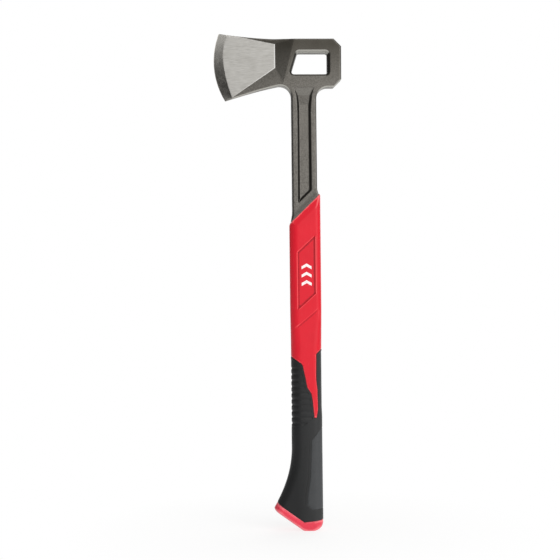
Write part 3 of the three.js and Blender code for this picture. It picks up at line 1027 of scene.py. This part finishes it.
def shaded_sides_mask(look):
    """Rims that face along X, and the window's walls: where the steel gets painted shade."""
    x0, x1, z0, z1 = WINDOW_ZONE
    across = look.times(look.remap(look.x, x0, x0 + 1), look.remap(look.x, x1, x1 + 1, 1, 0))
    up = look.times(look.remap(look.z, z0, z0 + 1), look.remap(look.z, z1, z1 + 1, 1, 0))
    place = look.math("MAXIMUM", look.times(across, up), rim_faces(look))
    return look.times(place, look.remap(look.size(look.facing("X")), 0.1, 0.55))


def lit_undersides_mask(look):
    """Rims that face partly down, where the steel gets painted light from below."""
    return look.times(rim_faces(look), look.remap(look.facing("Z"), -0.55, -0.22, 1, 0))


def blasted_steel():
    look = Look("blasted_steel")
    patches = look.noise(22, detail=4)
    grain = look.noise(1.3, detail=4)
    scale = look.noise(3.5, detail=4)
    # Painted shade: the steel is painted darker towards the top of the head, standing in for the light
    # falling off there.
    base = look.blend(look.remap(look.z, 590, 646, 1, 0), (0.056, 0.051, 0.041), (0.178, 0.168, 0.152))
    base = look.layer(base, (0.12, 0.112, 0.098), patches, *NOISE_RANGE, 0.35)
    base = look.layer(base, (0.055, 0.051, 0.044), grain, 0.4, 0.62, 0.55)
    # Convex edges are painted paler: partly worn edges, partly a painted highlight.
    base = look.layer(base, (0.42, 0.40, 0.37), look.pointiness(), 0.52, 0.6, 0.5)
    # Painted shade: rims that face along X and the window's walls are painted nearly black.
    base = look.blend(look.times(shaded_sides_mask(look), 0.8), base, (0.03, 0.028, 0.025))
    # Painted light: rims that face partly down are painted pale, standing in for light bounced up from the
    # floor.
    under = look.times(lit_undersides_mask(look), 0.85)
    return look.finish(
        base_color=look.blend(under, base, (0.46, 0.45, 0.41)),
        metallic=look.remap(under, 0, 1, 0.9, 0.35),
        roughness=look.vary(patches, 0.36, 0.46),
        normal=look.bump(grain, 0.035, look.bump(scale, 0.05)),
    )


def ground_steel():
    """The cheek, ground along X, with a painted highlight as a bright line along its back and lower
    borders.
    """
    look = Look("ground_steel")
    strokes = look.noise(0.8, stretch=(40, 1, 1))
    broad = look.noise(2.6, stretch=(18, 1, 1))
    haze = look.noise(14)
    base = look.layer((0.33, 0.32, 0.30), (0.52, 0.51, 0.485), strokes, *NOISE_RANGE)
    base = look.layer(base, (0.50, 0.49, 0.465), broad, 0.35, 0.65, 0.45)
    base = look.layer(base, (0.36, 0.345, 0.32), haze, 0.4, 0.75, 0.3)
    # Painted highlight: a bright line along the cheek's back and lower borders.
    border = look.times(look.remap(look.x, -39.3, -38.9), look.remap(look.x, -37.9, -37.5, 1, 0))
    (x0, z0, _), (x1, z1, _) = LOW_PLANE[:2]
    slope = (z1 - z0) / (x1 - x0)
    above = look.math("SUBTRACT", look.z, look.math("MULTIPLY_ADD", look.x, slope, z0 - slope * x0))
    border = look.math("MAXIMUM", border, look.remap(above, 0.9, 1.4, 1, 0))
    return look.finish(
        base_color=look.blend(look.times(border, 0.65), base, (0.85, 0.84, 0.82)), metallic=1.0,
        roughness=look.vary(strokes, 0.30, 0.42),
        normal=look.bump(broad, 0.012, look.bump(strokes, 0.012)),
    )


def honed_steel():
    """The bevel at the cutting edge, honed across, with painted shade towards its lower end."""
    look = Look("honed_steel")
    strokes = look.noise(0.9, stretch=(1, 1, 14))
    spots = look.noise(5)
    base = look.layer((0.62, 0.60, 0.56), (0.72, 0.70, 0.66), strokes, *NOISE_RANGE)
    base = look.layer(base, (0.5, 0.48, 0.44), spots, 0.5, 0.8, 0.3)
    # Painted shade: the bevel is painted darker towards its lower end.
    base = look.blend(look.remap(look.z, 612, 652, 0.8, 0), base, (0.09, 0.085, 0.075))
    return look.finish(
        base_color=base, metallic=1.0, roughness=look.vary(spots, 0.2, 0.3),
        normal=look.bump(strokes, 0.006),
    )


def moulded(name, base, pale, roughness):
    """Satin nylon with the fine grain of its mould, a painted highlight on its convex edges and painted
    shade in its hollows.
    """
    look = Look(name)
    grain = look.noise(0.55, detail=2)
    clouds = look.noise(30)
    scuffs = look.noise(1.2, stretch=(1, 1, 9), detail=4)
    color = look.layer(base, scaled(base, 0.82), clouds, *NOISE_RANGE, 0.4)
    color = look.layer(color, pale, scuffs, 0.62, 0.78, 0.22)
    # Painted highlight on convex edges, then painted shade in hollows.
    color = look.layer(color, pale, look.pointiness(), 0.513, 0.537)
    color = look.layer(color, scaled(base, 0.45), look.pointiness(), 0.492, 0.47)
    look.finish(
        roughness=look.vary(grain, roughness - 0.05, roughness + 0.06),
        normal=look.bump(grain, 0.02), specular_ior_level=0.3,
    )
    return look, color


def print_mark(look):
    """Three plain chevrons, one above the other, printed on both sides of the panel."""
    reach = look.size(look.math("SUBTRACT", look.x, MARK_X))
    height = look.math("SUBTRACT", look.z, MARK_LOW)
    count = look.math("DIVIDE", look.math("ADD", height, look.times(reach, 0.55)), MARK_PITCH)
    step = look.math("FRACT", count)
    bar = look.remap(look.size(look.math("SUBTRACT", step, 0.5)), 0.17, 0.185, 1, 0)
    rows = look.times(look.remap(count, -0.01, 0.01), look.remap(count, 2.99, 3.01, 1, 0))
    wide = look.remap(reach, MARK_HALF, MARK_HALF + 0.12, 1, 0)
    side = look.remap(look.size(look.y), 8, 9)
    return look.times(look.times(bar, rows), look.times(wide, side))


def red_nylon():
    look, color = moulded("red_nylon", (0.68, 0.005, 0.02), (0.86, 0.12, 0.13), 0.40)
    worn = look.remap(look.noise(0.7), 0.30, 0.42)
    return look.finish(base_color=look.blend(look.times(print_mark(look), worn), color, (0.88, 0.86, 0.85)))


def cap_nylon():
    look, color = moulded("cap_nylon", (0.74, 0.04, 0.075), (0.85, 0.17, 0.2), 0.42)
    return look.finish(base_color=color)


def soft_rubber(name, base, size, depth, roughness, specular):
    """A soft moulding with a fine matt texture and a little dust. Its convex edges are paler, partly
    rubbing and partly a painted highlight; its hollows get painted shade, and it is painted paler towards
    +X, where the light falls.
    """
    look = Look(name)
    stipple = look.cells(size)
    clouds = look.noise(16, detail=4)
    dust = look.noise(2.0, detail=5)
    color = look.layer(base, scaled(base, 0.8), clouds, *NOISE_RANGE, 0.35)
    color = look.layer(color, scaled(base, 2.5), dust, 0.6, 0.85, 0.3)
    # Convex edges painted paler, partly rubbing and partly a painted highlight; hollows get painted shade.
    color = look.layer(color, scaled(base, 3.5), look.pointiness(), 0.53, 0.62)
    color = look.layer(color, scaled(base, 0.2), look.pointiness(), 0.47, 0.40)
    # Painted light: the rubber is painted paler towards +X, the side the light comes from.
    color = look.layer(color, scaled(base, 1.3, 0.020), look.x, -14, 18)
    relief = look.bump(look.remap(stipple, 0.0, 0.7, 1, 0), depth)
    return look.finish(
        base_color=color, normal=look.bump(dust, 0.03, relief), specular_ior_level=specular,
        roughness=look.vary(clouds, roughness - 0.06, roughness + 0.06),
    )


def plain_steel():
    look = Look("pin_steel")
    turned = look.noise(0.4, stretch=(1, 20, 1))
    return look.finish(
        base_color=look.layer((0.40, 0.40, 0.39), (0.55, 0.55, 0.54), turned, *NOISE_RANGE), metallic=1.0,
        roughness=look.vary(turned, 0.3, 0.42), normal=look.bump(turned, 0.01),
    )


def paint(obj, *materials):
    obj.data.materials.clear()
    for material in materials:
        obj.data.materials.append(material)


def forging_finishes(head):
    """Numbers each face by its finish: 0 blasted, 1 ground cheek, 2 honed bevel."""
    for face in head.data.polygons:
        x, _, z = face.center / MM
        if x > CHEEK_END or abs(face.normal.y) < 0.6:
            continue
        distance, width, _ = bevel_place(x, z)
        cheek, top, low = (plane_height(p, x, z) for p in (CHEEK_PLANE, TOP_PLANE, LOW_PLANE))
        if x < BLADE_END and distance < width:
            face.material_index = 2
        elif cheek > max(top, low):
            face.material_index = 1


# ---- The stage ----

def stage_floor():
    """A wide pale disc under the butt, which turns into the plain background further out."""
    ring = [(x, y, FLOOR_TOP) for x, y in circle(FLOOR_RADIUS, FLOOR_SIDES)]
    floor = new_object("floor", ring, [tuple(range(FLOOR_SIDES))])
    look = Look("floor_white")
    squares = [look.math("POWER", part, 2.0) for part in (look.x, look.y)]
    away = look.math("SQRT", look.math("ADD", *squares))
    glow = look.node("ShaderNodeEmission", {"Color": BACKGROUND, "Strength": 1.0})
    look.finish(base_color=(0.9, 0.9, 0.9), roughness=0.9, specular_ior_level=0.1)
    mixed = look.mixed(look.remap(away, *FLOOR_FADE, 0.8, 1.0), look.shader, glow)
    look.set(look.tree.nodes["Material Output"].inputs["Surface"], mixed)
    paint(floor, look.material)


def studio_world():
    """A plain pale background. What it lights is softer and darker at the left and overhead."""
    world = bpy.data.worlds.new("studio")
    bpy.context.scene.world = world
    world.use_nodes = True
    world.node_tree.nodes.clear()
    sky = Nodes(world.node_tree)

    def band(value, low, high, to_low, to_high):
        return sky.remap(value, low, high, to_low, to_high, interpolation_type="SMOOTHSTEP")

    direction = sky.node("ShaderNodeSeparateXYZ", {0: sky.node("ShaderNodeTexCoord").outputs["Generated"]})
    x, y, z = (direction.outputs[k] for k in "XYZ")
    turn = sky.math("ARCTAN2", x, sky.size(y))
    front = sky.times(band(turn, -0.36, -0.06, 0, 1), band(turn, 0.75, 1.3, 1, 0))
    above = sky.times(band(z, 0.05, 0.35, 0, 1), band(z, 0.6, 0.9, 1, 0.3))
    under = band(z, -0.75, -0.3, 1, 0)
    strength = sky.times(front, FRONT_LIGHT)
    for share, amount in ((above, ABOVE_LIGHT), (under, UNDER_LIGHT)):
        strength = sky.math("ADD", strength, sky.times(share, amount))
    strength = sky.math("ADD", strength, ROOM_LIGHT)
    lit = sky.node("ShaderNodeBackground", {"Color": (1, 0.995, 0.985), "Strength": strength})
    seen = sky.node("ShaderNodeBackground", {"Color": BACKGROUND, "Strength": 1.0})
    camera_ray = sky.node("ShaderNodeLightPath").outputs["Is Camera Ray"]
    sky.node("ShaderNodeOutputWorld", {"Surface": sky.mixed(camera_ray, lit, seen)})


def softbox(name, place, target, size, energy):
    data = bpy.data.lights.new(name, "AREA")
    data.shape, data.size, data.size_y, data.energy = "RECTANGLE", *size, energy
    lamp = add_object(name, data)
    lamp.location = place
    lamp.rotation_mode = "QUATERNION"
    lamp.rotation_quaternion = (Vector(place) - Vector(target)).to_track_quat("Z", "Y")
    lamp.visible_camera = False


def camera():
    data = bpy.data.cameras.new("camera")
    eye = add_object("camera", data)
    back = CAMERA_PLACE - CAMERA_TARGET
    data.sensor_width = SENSOR_WIDTH
    data.lens = SENSOR_WIDTH * back.length / SEEN_WIDTH
    data.clip_start, data.clip_end = 0.05, 50
    eye.location = CAMERA_PLACE
    eye.rotation_mode = "XYZ"
    turned = back.to_track_quat("Z", "Y").to_matrix() @ Matrix.Rotation(-math.radians(CAMERA_ROLL), 3, "Z")
    eye.rotation_euler = turned.to_euler()
    bpy.context.scene.camera = eye


# ---- The axe ----

def axe():
    head = forging()
    paint(head, blasted_steel(), ground_steel(), honed_steel())
    forging_finishes(head)
    pieces = {"head_forging": head, **handle()}
    looks = {
        "handle_body": red_nylon(),
        "grip_overmold": soft_rubber("black_rubber", (0.008, 0.0085, 0.009), 0.55, 0.03, 0.5, 0.26),
        "palm_pad": soft_rubber("grey_rubber", (0.020, 0.022, 0.024), 0.8, 0.06, 0.6, 0.45),
        "butt_cap": cap_nylon(),
    }
    for node, look in looks.items():
        paint(pieces[node], look)
    for node, piece in pieces.items():
        shade(piece, SHARP_ANGLE)
        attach(piece, "root")
        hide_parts(node)
    paint(NODES["tang_sleeve"], soft_rubber("damper_rubber", (0.02, 0.02, 0.02), 1.2, 0.05, 0.8, 0.4))
    pin = plain_steel()
    for node in ("tang_pin_upper", "tang_pin_lower"):
        paint(NODES[node], pin)


axe()
stage_floor()
studio_world()
softbox("key", (1.3, -1.5, 1.0), (0, 0, 0.35), (0.9, 1.4), 10)
camera()
bpy.context.scene.view_settings.view_transform = "Standard"
